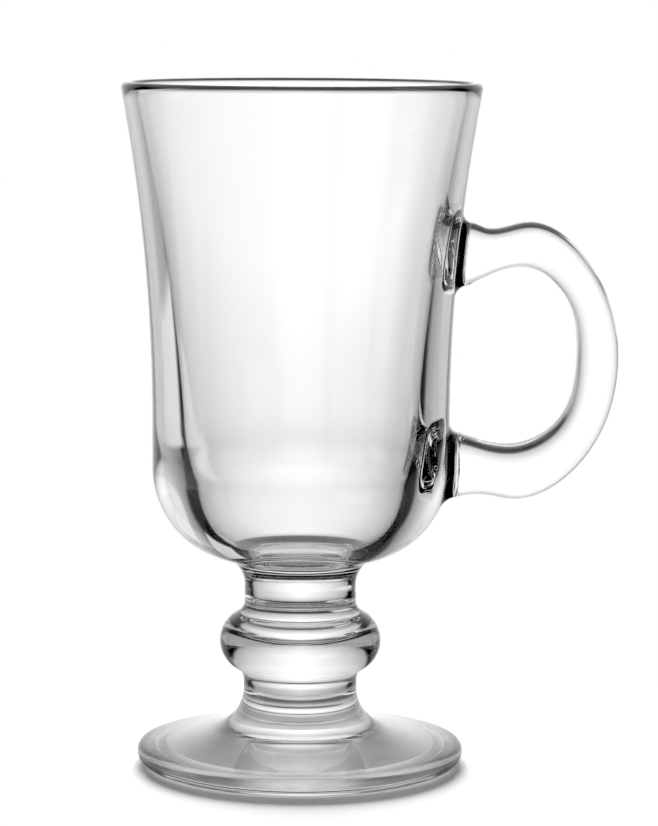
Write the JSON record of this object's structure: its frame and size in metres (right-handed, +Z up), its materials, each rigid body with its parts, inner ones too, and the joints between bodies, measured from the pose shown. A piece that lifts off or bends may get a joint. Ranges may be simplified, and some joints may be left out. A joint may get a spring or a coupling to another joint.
{
  "type": "irish coffee glass mug",
  "caption": "Clear glass stemmed mug with a flared bowl, round knop on a short stem, broad foot and loop handle, for serving hot drinks.",
  "frame": {"origin": "on the mug's axis, at the plane of the foot's standing ring", "axes": "+Z up along the axis of the bowl, stem and foot; +X towards the handle"},
  "size_m": [0.1051, 0.076, 0.1455],
  "materials": {
    "clear_glass_bowl": "clear fire-polished pressed glass",
    "clear_glass_stem": "clear fire-polished pressed glass",
    "clear_glass_foot": "clear fire-polished pressed glass",
    "clear_glass_handle": "clear fire-polished pressed glass"
  },
  "bodies": {
    "root": {"bowl": "clear_glass_bowl", "stem": "clear_glass_stem", "foot": "clear_glass_foot", "handle": "clear_glass_handle"}
  },
  "joints": []
}
